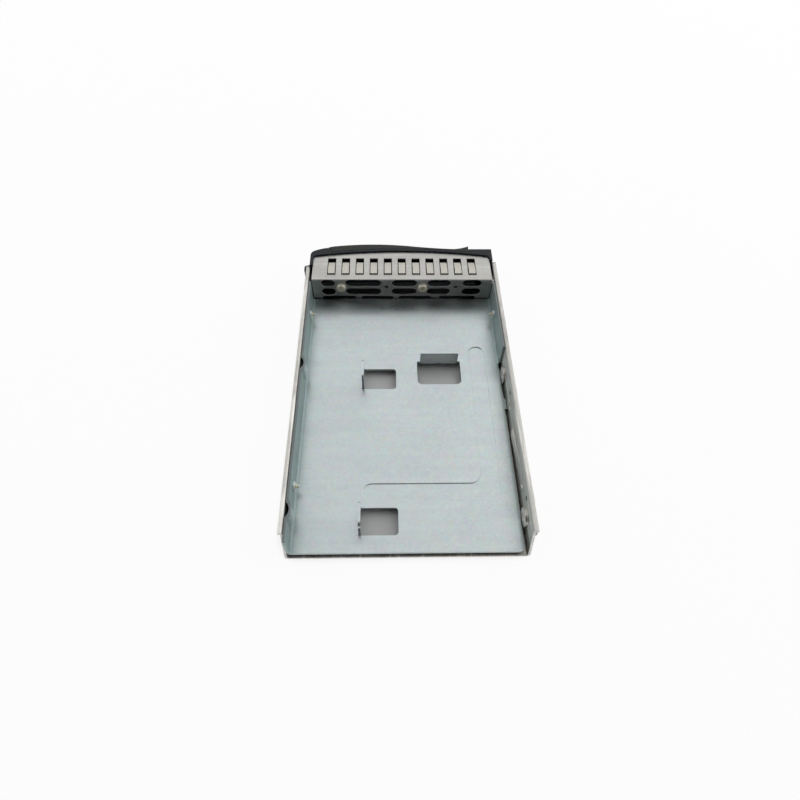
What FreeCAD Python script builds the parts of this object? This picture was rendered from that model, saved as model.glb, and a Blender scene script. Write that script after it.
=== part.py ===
import FreeCAD, Part
import math
import operator
import os

import Sketcher

from FreeCAD import Vector, Rotation, Placement

# Hot swap drive caddy with a 2.5-inch adapter plate.
# +Z up, millimetres. Origin: underside of the tray, centre line, connector plane of the drive.
# The front (bezel and lever) is towards -Y, the lever's hinge is on the +X side.
# "run" below is the distance from the connector plane towards the front, so Y = -run.

doc = FreeCAD.newDocument("drive_caddy")
sheet = doc.addObject("Spreadsheet::Sheet", "Sizes")

SIZES = [
    ("drive_w", 101.6, "width of a 3.5-inch drive"),
    ("side_gap", 0.1, "drive or adapter to rail, each side"),
    ("drive_seat", 3.0, "drive underside above the tray underside"),
    ("side_hole_up", 6.35, "3.5-inch side hole above the drive underside"),
    ("hole_a", 28.5, "3.5-inch side hole, connector end"),
    ("hole_b", 70.1, "3.5-inch side hole, middle"),
    ("hole_c", 130.1, "3.5-inch side hole, front"),
    ("small_w", 69.85, "width of a 2.5-inch drive"),
    ("small_l", 100.2, "length of a 2.5-inch drive"),
    ("small_up", 3.0, "2.5-inch side hole above the adapter floor"),
    ("small_a", 14.0, "2.5-inch side hole, connector end"),
    ("small_b", 90.6, "2.5-inch side hole, front"),
    ("small_gap", 0.1, "2.5-inch drive to stop tab"),
    ("steel", 1.0, "sheet of tray and adapter"),
    ("bend", 0.6, "inner bend radius of the tray"),
    ("rail_top", 18.0, "top of the rail flange"),
    ("flange_bend", 0.3, "inner radius under the flange"),
    ("flange_w", 2.1, "flange edge beyond the rail's inner face"),
    ("rail_tail", 0.7, "tray behind the connector plane"),
    ("rail_len", 158.0, "front end of the hinge-side rail"),
    ("rail_long", 162.0, "front end of the latch-side rail"),
    ("flange_from", 3.5, "connector end of the flange"),
    ("tail_z", 3.0, "foot of the slope at the connector end"),
    ("lip_w", 5.0, "bottom lip beside the opening"),
    ("strap_rear", 6.8, "front edge of the rear strap"),
    ("strap_front", 139.0, "rear edge of the front strap"),
    ("plate_len", 146.8, "length of the adapter plate"),
    ("wall_top", 17.7, "top of the adapter walls"),
    ("floor_edge", 49.5, "open edge of the adapter floor from the centre line"),
    ("tab_w", 12.0, "screw tab width"),
    ("tab_up", 9.5, "screw tab above the adapter floor"),
    ("tab_relief", 0.25, "slit beside each tab"),
    ("window_w", 16.1, "screw tab window"),
    ("stop_w", 19.3, "stop tab width"),
    ("stop_up", 8.4, "stop tab above the adapter floor"),
    ("stop_mid", 18.25, "stop tab centre from the centre line"),
    ("stop_cut", 13.0, "stop tab window"),
    ("rib_w", 8.5, "embossed rib width"),
    ("rib_deep", 0.45, "embossed rib depth"),
    ("rib_side", 38.65, "rib leg from the centre line"),
    ("rib_run", 27.8, "rib cross leg from the connector plane"),
    ("rib_far", 107.5, "end of the rib leg"),
    ("groove_w", 7.0, "groove in the adapter wall"),
    ("groove_in", 1.5, "groove depth"),
    ("shield_t", 0.8, "front shield sheet"),
    ("shield_run", 147.4, "rear face of the shield"),
    ("shield_half", 49.5, "half width of the shield"),
    ("shield_foot", 1.2, "lower edge of the shield"),
    ("bow_run", 169.8, "shield front edge on the centre line"),
    ("bow_r", 300.0, "shield front edge radius"),
    ("corner_r", 2.2, "shield corner radius"),
    ("finger_pitch", 7.8, "pitch of the contact fingers"),
    ("finger_win_w", 4.6, "finger window width"),
    ("finger_win_from", 151.3, "finger window, rear edge"),
    ("finger_win_to", 164.6, "finger window, front edge"),
    ("finger_w", 3.7, "contact finger width"),
    ("finger_t", 0.3, "contact finger thickness"),
    ("finger_lift", 0.7, "contact finger above the shield"),
    ("slot_h", 3.8, "air slot height"),
    ("slot_pitch", 6.12, "air slot rows apart"),
    ("slot_z", 4.2, "lowest air slot row"),
    ("screw_z", 12.4, "shield screws above the underside"),
    ("screw_x1", 33.7, "shield screw on the hinge side"),
    ("screw_x2", 11.35, "shield screw on the latch side"),
    ("rim_gap", 0.15, "bezel rim to shield edge"),
    ("rim_t", 1.25, "bezel rim thickness"),
    ("rim_top", 19.0, "top of bezel and lever"),
    ("bezel_half", 51.2, "half width of the bezel ahead of the rails"),
    ("bezel_wall", 1.6, "bezel wall"),
    ("bezel_fit", 0.1, "bezel side to rail"),
    ("deck_top", 15.2, "bezel deck under the fingers"),
    ("front_cut", 2.2, "bezel front wall"),
    ("face_drop", 5.0, "height of the sloped top edge"),
    ("face_out", 3.5, "reach of the sloped top edge"),
    ("hinge_x", 45.8, "lever hinge from the centre line"),
    ("hinge_run", 166.2, "lever hinge from the connector plane"),
    ("hub_r", 3.4, "lever hub radius"),
    ("pin_r", 1.5, "hinge pin radius"),
    ("pin_fit", 0.06, "running fit of the pin"),
    ("ear_t", 3.0, "lower bezel ear"),
    ("bar_end", 38.9, "hinge end of the lever bar, at its back"),
    ("move_gap", 0.3, "gap beside moving pieces"),
    ("ear_corner", 4.0, "corner radius of the bezel ears"),
    ("lever_foot", 1.2, "underside of the lever"),
    ("lever_end", 38.2, "lever tip from the centre line"),
    ("cam_out", 55.3, "cam nose from the centre line"),
    ("cam_from", 155.0, "cam nose, rear"),
    ("cam_to", 165.2, "cam nose, front"),
    ("cam_low", 6.0, "cam underside"),
    ("cam_high", 12.0, "cam top"),
    ("cam_open", 0.7, "opening around the cam"),
    ("block_from", 38.5, "latch block, inner side"),
    ("block_run", 171.3, "latch block, top front edge"),
    ("latch_low", 3.6, "latch slide underside"),
    ("latch_high", 9.2, "latch slide top"),
    ("latch_from", 170.4, "latch slide rear"),
    ("latch_to", 172.8, "latch slide front"),
    ("latch_len", 4.0, "latch slide length"),
    ("latch_room", 8.1, "latch slide channel length"),
    ("latch_travel", 1.6, "latch slide travel"),
    ("pipe_r", 0.6, "light pipe radius"),
    ("pipe_z1", 14.3, "upper light pipe on the rail"),
    ("pipe_z2", 12.5, "lower light pipe on the rail"),
    ("lens_r", 0.8, "light pipe lens radius"),
    ("lens_x1", 46.8, "outer lens"),
    ("lens_x2", 42.8, "inner lens"),
    ("m3_r", 1.45, "adapter screw radius"),
    ("m3_head", 2.4, "adapter screw head radius"),
    ("m3_fit", 0.04, "adapter screw in its nut"),
    ("nut_r", 2.1, "clinch nut shank radius"),
    ("nut_flange", 0.8, "clinch nut height inside the wall"),
    ("m25_r", 1.2, "small screw radius"),
    ("m2_r", 1.0, "bezel side screw radius"),
]
for row, (alias, value, note) in enumerate(SIZES, start=1):
    sheet.set("A%d" % row, alias)
    sheet.set("B%d" % row, "%g" % value)
    sheet.set("C%d" % row, note)
    sheet.setAlias("B%d" % row, alias)
doc.recompute()


# a half circle drawn a touch larger than its chord keeps the arc solvable
HALF_ROUND = 1.0001
OPERATORS = {"+": operator.add, "-": operator.sub, "*": operator.mul, "/": operator.truediv}


class Dim:
    """A value that remembers its spreadsheet expression."""

    def __init__(self, text, value):
        self.text, self.value = text, float(value)

    def _mix(self, other, sign, flip=False):
        other = other if isinstance(other, Dim) else Dim("%g" % other, other)
        a, b = (other, self) if flip else (self, other)
        return Dim("(%s %s %s)" % (a.text, sign, b.text), OPERATORS[sign](a.value, b.value))

    def __add__(self, o): return self._mix(o, "+")
    def __radd__(self, o): return self._mix(o, "+", True)
    def __sub__(self, o): return self._mix(o, "-")
    def __rsub__(self, o): return self._mix(o, "-", True)
    def __mul__(self, o): return self._mix(o, "*")
    def __rmul__(self, o): return self._mix(o, "*", True)
    def __truediv__(self, o): return self._mix(o, "/")
    def __neg__(self): return Dim("(-1 * %s)" % self.text, -self.value)
    def __float__(self): return self.value


def dim_sqrt(d):
    return Dim("sqrt(%s)" % d.text, math.sqrt(d.value))


class Named:
    def __getattr__(self, alias):
        return Dim("Sizes.%s" % alias, sheet.get(alias))


S = Named()


def bind(obj, prop, size):
    """Tie a property or constraint to the sheet; plain numbers are set once."""
    if isinstance(size, Dim):
        obj.setExpression(prop, size.text)
    elif "[" not in prop and "." not in prop:
        setattr(obj, prop, size)


def new_body(name):
    body = doc.addObject("PartDesign::Body", name)
    body.Label = name
    return body


class Draw:
    """A sketch on one of the body's own planes, every point tied to the sheet."""

    def __init__(self, body, name, role, offset=0.0):
        plane = [f for f in body.Origin.OriginFeatures if f.Role == role][0]
        self.sk = body.newObject("Sketcher::SketchObject", name)
        self.sk.AttachmentSupport = [(plane, "")]
        self.sk.MapMode = "FlatFace"
        self.sk.AttachmentOffset = Placement(Vector(0, 0, float(offset)), Rotation())
        if isinstance(offset, Dim):
            self.sk.setExpression(".AttachmentOffset.Base.z", offset.text)

    def fix(self, kind, *args):
        size = args[-1]
        index = self.sk.addConstraint(Sketcher.Constraint(kind, *args[:-1], float(size)))
        if isinstance(size, Dim):
            self.sk.setExpression("Constraints[%d]" % index, size.text)

    def at(self, geo, pos, x, y):
        self.fix("DistanceX", -1, 1, geo, pos, x)
        self.fix("DistanceY", -1, 1, geo, pos, y)

    def outline(self, points, closed=True):
        """A point is (x, y) or (x, y, radius, turn): an arc leaves it, turning left for +1
        and right for -1."""
        n, geos = len(points), []
        for i, p in enumerate(points if closed else points[:-1]):
            q = points[(i + 1) % n]
            a, b = Vector(float(p[0]), float(p[1])), Vector(float(q[0]), float(q[1]))
            if len(p) == 2:
                geos.append((self.sk.addGeometry(Part.LineSegment(a, b), False), 1, 2))
                continue
            r, turn = float(p[2]), p[3]
            half = (b - a) * 0.5
            rise = math.sqrt(max(r * r - half.Length ** 2, 0.0))
            c = a + half + Vector(-half.y, half.x).normalize() * (rise * turn)
            start, end = (a, b) if turn > 0 else (b, a)
            angles = [math.atan2(v.y - c.y, v.x - c.x) for v in (start, end)]
            if angles[1] <= angles[0]:
                angles[1] += 2 * math.pi
            arc = Part.ArcOfCircle(Part.Circle(c, Vector(0, 0, 1), r), angles[0], angles[1])
            geos.append((self.sk.addGeometry(arc, False),) + ((1, 2) if turn > 0 else (2, 1)))
        for (geo, first, last), nxt in zip(geos, geos[1:] + (geos[:1] if closed else [])):
            self.sk.addConstraint(Sketcher.Constraint("Coincident", geo, last, nxt[0], nxt[1]))
        if not closed:
            self.at(geos[-1][0], geos[-1][2], points[-1][0], points[-1][1])
        for (geo, first, last), p in zip(geos, points):
            self.at(geo, first, p[0], p[1])
            if len(p) == 4:
                self.fix("Radius", geo, p[2])
        return self

    def box(self, x0, y0, x1, y1):
        return self.outline([(x0, y0), (x1, y0), (x1, y1), (x0, y1)])

    def round_box(self, x0, y0, x1, y1, r):
        """x0 < x1 and y0 < y1."""
        return self.outline([(x0 + r, y0), (x1 - r, y0, r, 1), (x1, y0 + r), (x1, y1 - r, r, 1),
                             (x1 - r, y1), (x0 + r, y1, r, 1), (x0, y1 - r), (x0, y0 + r, r, 1)])

    def slot(self, x0, x1, y, r):
        return self.outline([(x0 + r, y - r), (x1 - r, y - r, r * HALF_ROUND, 1),
                             (x1 - r, y + r), (x0 + r, y + r, r * HALF_ROUND, 1)])

    def circle(self, x, y, r):
        circle = Part.Circle(Vector(float(x), float(y), 0), Vector(0, 0, 1), float(r))
        geo = self.sk.addGeometry(circle, False)
        self.at(geo, 3, x, y)
        self.fix("Radius", geo, r)
        return self


def volume(body):
    return body.Shape.Volume if not body.Shape.isNull() else 0.0


def extrude(body, kind, draw, length, along):
    """Pad or pocket; along is True for the plane's own direction."""
    before = volume(body)
    feat = body.newObject("PartDesign::" + kind, draw.sk.Name + "_" + kind.lower())
    feat.Profile = draw.sk
    feat.Length = float(length)
    bind(feat, "Length", length)
    feat.Reversed = along if kind == "Pocket" else not along
    draw.sk.Visibility = False
    doc.recompute()
    change = volume(body) - before
    if "Invalid" in feat.State or abs(change) < 1e-6 or (change > 0) == (kind == "Pocket"):
        raise RuntimeError("%s changed the volume by %.4f" % (feat.Name, change))
    return feat


def pad(body, draw, length, along=True):
    return extrude(body, "Pad", draw, length, along)


def pocket(body, draw, length, along=False):
    return extrude(body, "Pocket", draw, length, along)


def round_off(body, radius, wanted, kind="Fillet"):
    """Fillet or chamfer every edge that wanted(edge) picks."""
    base = body.Tip
    names = ["Edge%d" % i for i, e in enumerate(body.Shape.Edges, 1) if wanted(e)]
    feat = body.newObject("PartDesign::" + kind, body.Name + "_%s" % kind.lower())
    feat.Base = (base, names)
    prop = "Radius" if kind == "Fillet" else "Size"
    setattr(feat, prop, float(radius))
    bind(feat, prop, radius)
    doc.recompute()
    if not names or "Invalid" in feat.State:
        raise RuntimeError("%s failed on %d edges" % (feat.Name, len(names)))


def pattern(body, feat, role, count, pitch, first=None):
    """Linear copies along one of the body's axes."""
    axis = [f for f in body.Origin.OriginFeatures if f.Role == role][0]
    copy = body.newObject("PartDesign::LinearPattern", feat.Name + "_row")
    copy.Originals = [feat]
    copy.Direction = (axis, [""])
    copy.Occurrences = count
    copy.Length = float(pitch) * (count - 1)
    bind(copy, "Length", pitch * (count - 1))
    body.Tip = copy
    doc.recompute()
    return copy


def turned(name, profile, x=0.0, run=0.0, z=0.0, towards="z", recess=None):
    """A turned piece: profile points are (radius, height) from the axis outwards.
    Its height axis points along towards: z, +x, -x or front."""
    body = new_body(name)
    draw = Draw(body, name + "_profile", "XZ_Plane").outline(profile)
    rev = body.newObject("PartDesign::Revolution", name + "_turn")
    rev.Profile = draw.sk
    rev.ReferenceAxis = (draw.sk, ["V_Axis"])
    rev.Angle = 360
    draw.sk.Visibility = False
    doc.recompute()
    if recess:
        width, length, depth, top = recess
        half, arm = width / 2, length / 2
        cross = Draw(body, name + "_cross", "XY_Plane", top)
        cross.outline([(-half, -arm), (half, -arm), (half, -half), (arm, -half), (arm, half), (half, half),
                       (half, arm), (-half, arm), (-half, half), (-arm, half), (-arm, -half), (-half, -half)])
        pocket(body, cross, depth)
    spin = {"z": Rotation(), "+x": Rotation(Vector(0, 1, 0), 90), "-x": Rotation(Vector(0, 1, 0), -90),
            "front": Rotation(Vector(1, 0, 0), 90), "back": Rotation(Vector(1, 0, 0), -90)}[towards]
    body.Placement = Placement(Vector(float(x), -float(run), float(z)), spin)
    for prop, size in (("x", x), ("y", -run), ("z", z)):
        if isinstance(size, Dim):
            body.setExpression(".Placement.Base." + prop, size.text)
    doc.recompute()
    return body


def together(name, bodies):
    node = doc.addObject("Part::Compound", name)
    node.Label = name
    node.Links = bodies
    doc.recompute()
    return node


# Heights and widths that several pieces share
half_in = S.drive_w / 2 + S.side_gap
half_out = half_in + S.steel
flange_edge = half_in + S.flange_w
plate_out = S.drive_w / 2
plate_in = plate_out - S.steel
floor_top = S.drive_seat + S.steel
hole_z = S.drive_seat + S.side_hole_up
small_z = floor_top + S.small_up
stop_run = S.small_l + S.small_gap
small_x = S.small_w - (half_in - S.steel) + 0.05
groove_z = 9.7
tongue_run, tongue_z = 38.0, 6.0
side_screw_run, side_screw_z = S.cam_from - 1.0, 3.4
cam_reach = dim_sqrt((S.cam_out - S.hinge_x) * (S.cam_out - S.hinge_x)
                     + (S.hinge_run - S.cam_from) * (S.hinge_run - S.cam_from))
cam_room = S.hinge_run - cam_reach - S.move_gap
pipe_x = half_out + S.pipe_r + 0.1
pipe_turn = 149.5
clip_runs, clip_z = (20.0, 75.0, 120.0), (S.pipe_z1 + S.pipe_z2) / 2
nodes = []


# ---------------------------------------------------------------- outer tray
def make_tray():
    body = new_body("outer_tray")
    top, thin, fb, b = S.rail_top, S.steel, S.flange_bend, S.bend
    right = [(flange_edge, top), (half_out + fb, top, fb + thin, 1), (half_in, top - thin - fb),
             (half_in, thin + b, b, -1), (half_in - b, thin)]
    left_up = [(-half_in + b, thin, b, -1), (-half_in, thin + b),
               (-half_in, top - thin - fb, fb + thin, 1), (-half_out - fb, top), (-flange_edge, top),
               (-flange_edge, top - thin), (-half_out - fb, top - thin, fb, -1), (-half_out, top - thin - fb),
               (-half_out, thin + b, thin + b, 1), (-half_in + b, 0.0)]
    right_up = [(half_in - b, 0.0, thin + b, 1), (half_out, thin + b), (half_out, top - thin - fb, fb, -1),
                (half_out + fb, top - thin), (flange_edge, top - thin)]
    section = Draw(body, "tray_section", "XZ_Plane", -S.rail_tail)
    section.outline(right + left_up + right_up)
    pad(body, section, S.rail_long + S.rail_tail)

    opening = Draw(body, "tray_opening", "XY_Plane", thin + 1)
    opening.round_box(-half_in + S.lip_w, -S.strap_front, half_in - S.lip_w, -S.strap_rear, 4.0)
    pocket(body, opening, thin + 2)
    nose = Draw(body, "tray_nose", "XY_Plane", thin + 1)
    nose.box(-half_in, -S.rail_long - 1, half_in, -S.shield_run + 0.2)
    pocket(body, nose, thin + 2)
    short = Draw(body, "hinge_rail_end", "XY_Plane", top + 1)
    short.box(half_in - 2, -S.rail_long - 1, flange_edge + 1, -S.rail_len)
    pocket(body, short, top + 2)

    tail = Draw(body, "rail_tail_slope", "YZ_Plane", flange_edge + 1)
    tail.outline([(S.rail_tail, S.tail_z), (S.rail_tail + 1, S.tail_z), (S.rail_tail + 1, top + 1),
                  (-S.flange_from, top + 1), (-S.flange_from, top - thin - fb - 0.4)])
    pocket(body, tail, flange_edge * 2 + 2)

    holes = Draw(body, "drive_holes", "YZ_Plane", flange_edge + 1)
    for run in (S.hole_a, S.hole_b, S.hole_c):
        holes.circle(-run, hole_z, S.m3_r + 0.4)
    pocket(body, holes, flange_edge * 2 + 2)
    screws = Draw(body, "bezel_holes", "YZ_Plane", flange_edge + 1)
    screws.circle(-side_screw_run, side_screw_z, S.m2_r + 0.2)
    pocket(body, screws, flange_edge * 2 + 2)

    cam = Draw(body, "cam_slot", "YZ_Plane", half_out + 1)
    cam.box(-S.rail_len - 1, S.cam_low - S.cam_open, -cam_room, S.cam_high + S.cam_open)
    pocket(body, cam, thin + 2)

    # the latch-side rail alone: dimples, press tongue, clip holes and light pipe exit
    dimple = Draw(body, "dimples", "YZ_Plane", -half_in)
    hollow = Draw(body, "dimple_hollow", "YZ_Plane", -half_in)
    small = Draw(body, "small_holes", "YZ_Plane", -half_in + thin + 1)
    for run in (S.small_a, S.small_b):
        dimple.circle(-run, small_z, 4.2)
        hollow.circle(-run, small_z, 3.2)
        small.circle(-run, small_z, 1.7)
    pad(body, dimple, thin)
    pocket(body, hollow, thin + 0.5)
    pocket(body, small, thin + 2)
    window = Draw(body, "tongue_window", "YZ_Plane", -half_in + 0.5)
    window.box(-tongue_run - 19, tongue_z - 0.5, -tongue_run, tongue_z + 5.5)
    pocket(body, window, thin + 1)
    tongue = Draw(body, "tongue", "XY_Plane", tongue_z)
    bent = -half_in + 0.85
    tongue.outline([(-half_in, -tongue_run + 0.4), (-half_in, -tongue_run - 1.0), (bent, -tongue_run - 17.5),
                    (bent, -tongue_run - 18.3), (bent - thin, -tongue_run - 18.6),
                    (bent - thin, -tongue_run - 17.6), (-half_out, -tongue_run - 1.4),
                    (-half_out, -tongue_run + 0.4)])
    pad(body, tongue, 5.0)
    clips = Draw(body, "clip_holes", "YZ_Plane", -half_in + 0.5)
    for run in clip_runs:
        clips.circle(-run, clip_z, 1.3)
    pocket(body, clips, thin + 1)
    ways = Draw(body, "pipe_exit", "YZ_Plane", -half_in + 0.5)
    ways.box(-pipe_turn - 4.6, S.pipe_z2 - 1.0, -pipe_turn + 1.6, S.pipe_z1 + 1.2)
    pocket(body, ways, thin + 1)
    nodes.append(body)


# -------------------------------------------------------------- adapter plate
def make_adapter():
    body = new_body("adapter_plate")
    thin, low, top = S.steel, S.drive_seat, S.wall_top
    section = Draw(body, "plate_section", "XZ_Plane")
    section.outline([(plate_out, top), (plate_in, top), (plate_in, low + 2 * thin, thin, -1),
                     (plate_in - thin, low + thin), (-S.floor_edge, low + thin), (-S.floor_edge, low),
                     (plate_in - thin, low, 2 * thin, 1), (plate_out, low + 2 * thin)])
    pad(body, section, S.plate_len)
    wall = Draw(body, "far_wall", "XZ_Plane", stop_run)
    wall.outline([(-plate_in, top), (-plate_out, top), (-plate_out, low + 2 * thin, 2 * thin, 1),
                  (-plate_in + thin, low), (-plate_in + thin + 2, low), (-plate_in + thin + 2, low + thin),
                  (-plate_in + thin, low + thin, thin, -1), (-plate_in, low + 2 * thin)])
    pad(body, wall, S.plate_len - stop_run)

    round_off(body, 2.5, lambda e: all(abs(v.X + float(S.floor_edge)) < 1e-6 and abs(v.Y) < 1e-6
                                       for v in e.Vertexes))

    # screw tabs for the 2.5-inch drive
    windows = Draw(body, "tab_windows", "XY_Plane", low + thin + 1)
    for run in (S.small_a, S.small_b):
        reach = S.tab_w / 2 + S.tab_relief
        windows.outline([(small_x + thin + 0.5, -run - reach), (small_x + thin + 0.5, -run + reach),
                         (small_x - S.window_w + 1.5, -run + reach, 1.5, 1),
                         (small_x - S.window_w, -run + reach - 1.5),
                         (small_x - S.window_w, -run - reach + 1.5, 1.5, 1),
                         (small_x - S.window_w + 1.5, -run - reach)])
    pocket(body, windows, thin + 2)
    for k, run in enumerate((S.small_a, S.small_b)):
        tab = Draw(body, "tab%d" % k, "XZ_Plane", run - S.tab_w / 2)
        tab.outline([(small_x + 3, low), (small_x + 3, low + thin), (small_x + thin + 0.5, low + thin, 0.5, -1),
                     (small_x + thin, low + thin + 0.5), (small_x + thin, low + thin + S.tab_up),
                     (small_x, low + thin + S.tab_up), (small_x, low + 1.5, 1.5, 1),
                     (small_x + 1.5, low)])
        pad(body, tab, S.tab_w)
    tab_holes = Draw(body, "tab_holes", "YZ_Plane", small_x + thin + 1)
    ears = Draw(body, "tab_corners", "YZ_Plane", small_x + thin + 1)
    for run in (S.small_a, S.small_b):
        tab_holes.circle(-run, small_z, 1.7)
        for side in (1, -1):
            y, z = -run + S.tab_w / 2 * side, floor_top + S.tab_up
            ears.outline([(y - 2.5 * side, z, 2.5, -side), (y, z - 2.5), (y + 0.5 * side, z - 2.5),
                          (y + 0.5 * side, z + 0.5), (y - 2.5 * side, z + 0.5)])
    pocket(body, tab_holes, thin + 2)
    pocket(body, ears, thin + 2)

    # stop tab at the front end of the 2.5-inch drive
    near, far = stop_run - S.stop_cut, stop_run + thin + 0.5
    left, right = -S.stop_mid + S.stop_w / 2, -S.stop_mid - S.stop_w / 2
    gap = Draw(body, "stop_window", "XY_Plane", low + thin + 1)
    gap.outline([(left + 1.5, -far), (right - 1.5, -far), (right - 1.5, -near - 2.5, 2.5, -1),
                 (right + 1.0, -near), (left - 1.0, -near, 2.5, -1), (left + 1.5, -near - 2.5)])
    pocket(body, gap, thin + 2)
    stop = Draw(body, "stop_tab", "YZ_Plane", right)
    stop.outline([(-far - 1.5, low), (-far - 1.5, low + thin), (-far, low + thin, 0.5, 1),
                  (-stop_run - thin, low + thin + 0.5), (-stop_run - thin, low + thin + S.stop_up),
                  (-stop_run, low + thin + S.stop_up), (-stop_run, low + 1.5, 1.5, -1),
                  (-stop_run - 1.5, low)])
    pad(body, stop, S.stop_w)
    relief = Draw(body, "stop_relief", "XY_Plane", low + thin + 1.2)
    relief.box(-S.stop_mid - 0.9, -far + 0.4, -S.stop_mid + 0.9, -stop_run + 1)
    pocket(body, relief, thin + 2)

    # L-shaped rib pressed down into the floor, its outline shared by both faces
    for name, level, deep, cut in (("rib_top", low + thin, S.rib_deep, True),
                                   ("rib_under", low, S.rib_deep, False)):
        w = S.rib_w / 2 + (0.0 if cut else 0.35)
        rib = Draw(body, name, "XY_Plane", level)
        side, cross, end = -S.rib_side, -S.rib_run, small_x - S.rib_w / 2
        rib.outline([(side - w, -S.rib_far), (side - w, cross + w - 4, 4.0, -1), (side - w + 4, cross + w),
                     (end, cross + w, w * HALF_ROUND, -1), (end, cross - w),
                     (side + w + 5.5, cross - w, 5.5, 1), (side + w, cross - w - 5.5),
                     (side + w, -S.rib_far, w * HALF_ROUND, -1)])
        if cut:
            pocket(body, rib, deep)
        else:
            pad(body, rib, deep, along=False)

    # grooves in the long wall beside the screw tabs
    chord, sag = S.groove_w / 2, S.groove_in
    for name, x, grow, cut in (("groove_skin", plate_in, 1.0, False), ("groove", plate_out, 0.0, True)):
        groove = Draw(body, name, "XY_Plane", top if cut else groove_z)
        radius = ((chord + grow) * (chord + grow) + sag * sag) / (2 * sag)
        for run in (S.small_a, S.small_b):
            groove.outline([(x, -run + chord + grow, radius, 1), (x, -run - chord - grow),
                            (x + 0.3, -run - chord - grow), (x + 0.3, -run + chord + grow)])
        if cut:
            pocket(body, groove, top - groove_z - 1.0)
        else:
            pad(body, groove, top - groove_z)

    # locating tab that bridges the side gap, and the clinch nut holes
    bridge = Draw(body, "side_tab", "XY_Plane", low)
    bridge.box(-half_in + 0.3, -78.0, -S.floor_edge + 1, -72.0)
    pad(body, bridge, thin)
    nuts = Draw(body, "nut_holes", "YZ_Plane", plate_out + 1)
    nuts.circle(-S.hole_a, hole_z, S.nut_r + 0.03)
    nuts.circle(-S.hole_c, hole_z, S.nut_r + 0.03)
    pocket(body, nuts, thin + 2)
    far_nut = Draw(body, "far_nut_hole", "YZ_Plane", -plate_in + 1)
    far_nut.circle(-S.hole_c, hole_z, S.nut_r + 0.03)
    pocket(body, far_nut, thin + 2)
    nodes.append(body)


# --------------------------------------------------------------- front shield
def bow(x, extra=0.0):
    """How far forward the bowed front edge is at x, for the shield's own arc."""
    r = S.bow_r + extra
    return S.bow_run + extra - r + dim_sqrt(r * r - x * x)


def make_shield():
    body = new_body("front_shield")
    thin, top, rear = S.shield_t, S.rail_top, S.shield_run
    fold = 0.5
    side = Draw(body, "shield_section", "YZ_Plane", -S.shield_half)
    side.outline([(-rear, S.shield_foot), (-rear, top - thin - fold, thin + fold, -1),
                  (-rear - thin - fold, top), (-S.bow_run - 2, top), (-S.bow_run - 2, top - thin),
                  (-rear - thin - fold, top - thin, fold, 1), (-rear - thin, top - thin - fold),
                  (-rear - thin, S.shield_foot)])
    pad(body, side, S.shield_half * 2)

    edge = S.shield_half - S.corner_r
    trim = Draw(body, "shield_bow", "XY_Plane", top + 1)
    trim.outline([(S.shield_half, -bow(edge) + S.corner_r, S.corner_r, -1), (edge, -bow(edge), S.bow_r, -1),
                  (-edge, -bow(edge), S.corner_r, -1), (-S.shield_half, -bow(edge) + S.corner_r),
                  (-S.shield_half - 2, -bow(edge) + S.corner_r), (-S.shield_half - 2, -S.bow_run - 4),
                  (S.shield_half + 2, -S.bow_run - 4), (S.shield_half + 2, -bow(edge) + S.corner_r)])
    pocket(body, trim, thin + 2)

    first = -S.finger_pitch * 5
    window = Draw(body, "finger_window", "XY_Plane", top + 1)
    window.box(first - S.finger_win_w / 2, -S.finger_win_to, first + S.finger_win_w / 2, -S.finger_win_from)
    cut = pocket(body, window, thin + 2)
    pattern(body, cut, "X_Axis", 11, S.finger_pitch)

    half = S.slot_h / 2
    upper = [(36.8, 44.6), (11.5, 31.3), (-8.3, 5.8), (-27.0, -13.9), (-44.0, -33.3)]
    lower = [(25.3, 44.9), (4.4, 23.0), (-17.2, 2.1), (-41.9, -20.6)]
    slots = Draw(body, "air_slots", "XZ_Plane", rear - 0.5)
    for x0, x1 in upper:
        for level in (1, 2):
            slots.slot(x0, x1, S.slot_z + S.slot_pitch * level, half)
    for x0, x1 in lower:
        slots.slot(x0, x1, S.slot_z, half)
    pocket(body, slots, thin + 0.5 + 0.25, along=True)

    fixings = Draw(body, "shield_holes", "XZ_Plane", rear - 0.5)
    for x, r in ((S.screw_x1, S.m25_r + 0.2), (-S.screw_x2, S.m25_r + 0.2)):
        fixings.circle(x, S.screw_z, r)
    for x in (8.6, -29.9):
        fixings.circle(x, S.screw_z, 1.1)
    pocket(body, fixings, thin + 1, along=True)
    nodes.append(body)


def make_fingers():
    """One strip of spring contacts under the shield, a finger up through each window."""
    body = new_body("contact_strip")
    under, thin = S.rail_top - S.shield_t, S.finger_t
    crest = S.rail_top + S.finger_lift
    reach = S.finger_pitch * 5 + S.finger_w / 2 + 1.5
    band = Draw(body, "strip_band", "XY_Plane", under)
    band.box(-reach, -S.finger_win_from + 0.2, reach, -S.shield_run - 1.9)
    pad(body, band, thin, along=False)
    first = -S.finger_pitch * 5
    a, b, near = S.finger_win_from, S.finger_win_to, under - thin
    line = [(a - 0.5, near), (a - 0.5, under), (a + 0.1, under), (a + 1.0, crest - 0.3), (a + 4.8, crest),
            (b - 2.9, S.rail_top - 0.5), (b - 2.0, near), (b - 2.3, near), (b - 3.3, S.rail_top - 0.9),
            (a + 4.8, crest - thin), (a + 1.2, crest - thin - 0.3), (a + 0.4, near)]
    finger = Draw(body, "finger", "YZ_Plane", first - S.finger_w / 2)
    finger.outline([(-run, z) for run, z in line])
    arm = pad(body, finger, S.finger_w)
    pattern(body, arm, "X_Axis", 11, S.finger_pitch)
    nodes.append(body)


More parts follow.
